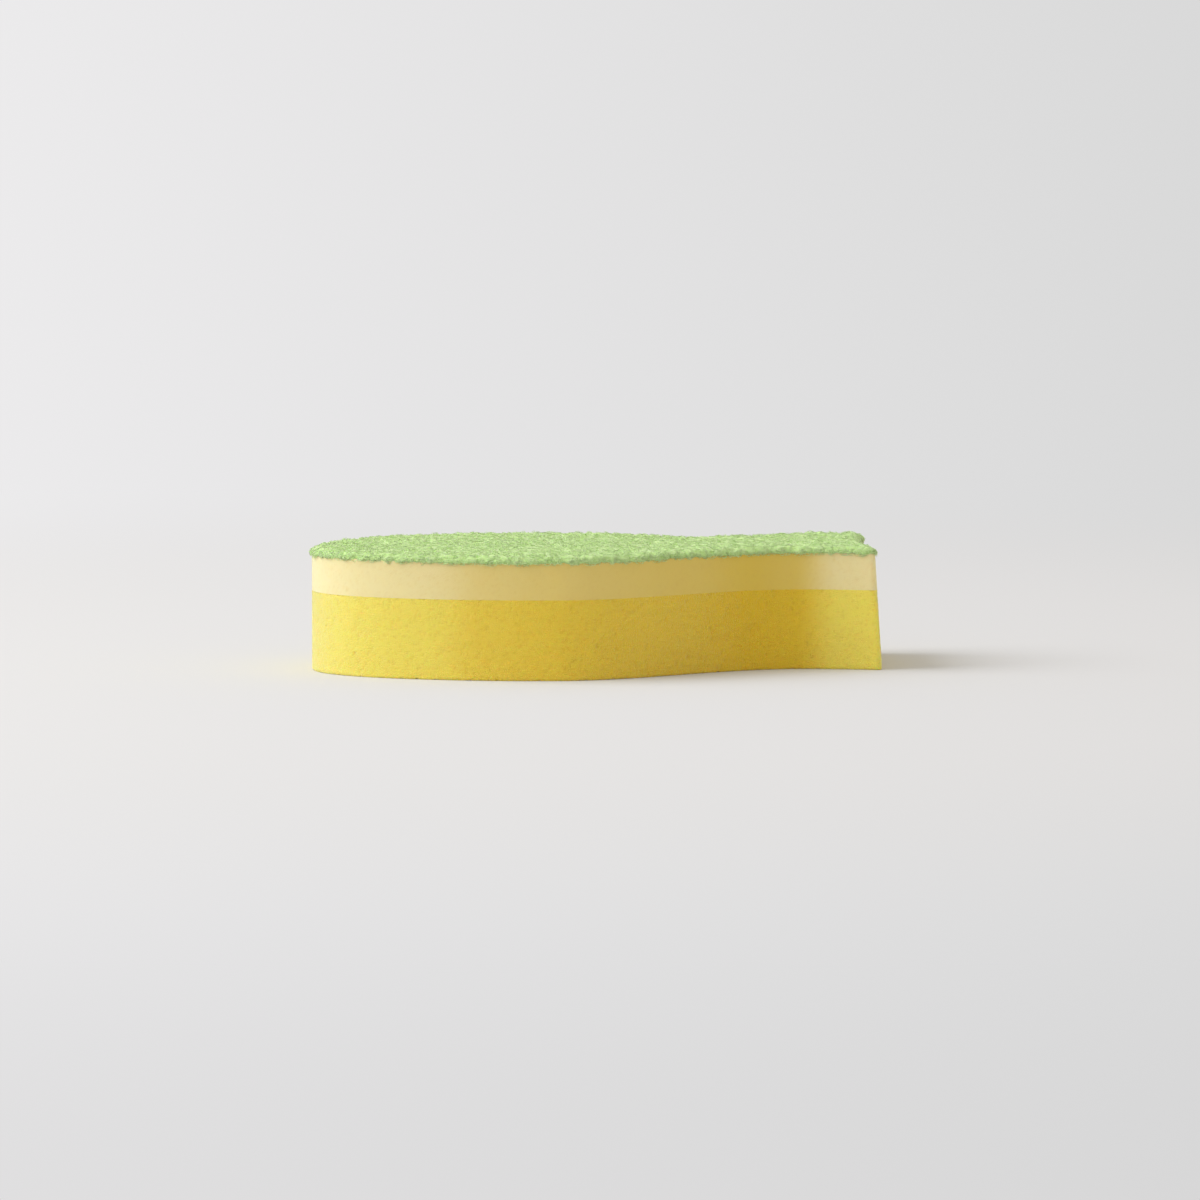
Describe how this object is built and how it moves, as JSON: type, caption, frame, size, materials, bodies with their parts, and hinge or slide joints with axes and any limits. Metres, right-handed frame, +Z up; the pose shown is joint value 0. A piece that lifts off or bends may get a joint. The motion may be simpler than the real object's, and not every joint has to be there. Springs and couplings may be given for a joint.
{
  "type": "cleaning sponge",
  "caption": "Layered cleaning sponge with a round body, a waisted tail and a rough scouring pad bonded over soft foam.",
  "frame": {"origin": "on the table, under the middle of the part's bounding box", "axes": "+X from the round nose to the tail, +Y away from the side that the picture shows, +Z up through the layers"},
  "size_m": [0.1356, 0.0756, 0.03],
  "materials": {
    "yellow_foam": "coarse open-cell polyurethane foam, soft and matt",
    "cream_foam": "fine-cell polyurethane foam, soft and matt",
    "green_pad": "nonwoven nylon scouring web, rough and lumpy"
  },
  "bodies": {
    "root": {"yellow_foam_base": "yellow_foam", "cream_foam_layer": "cream_foam", "green_scouring_pad": "green_pad"}
  },
  "joints": []
}
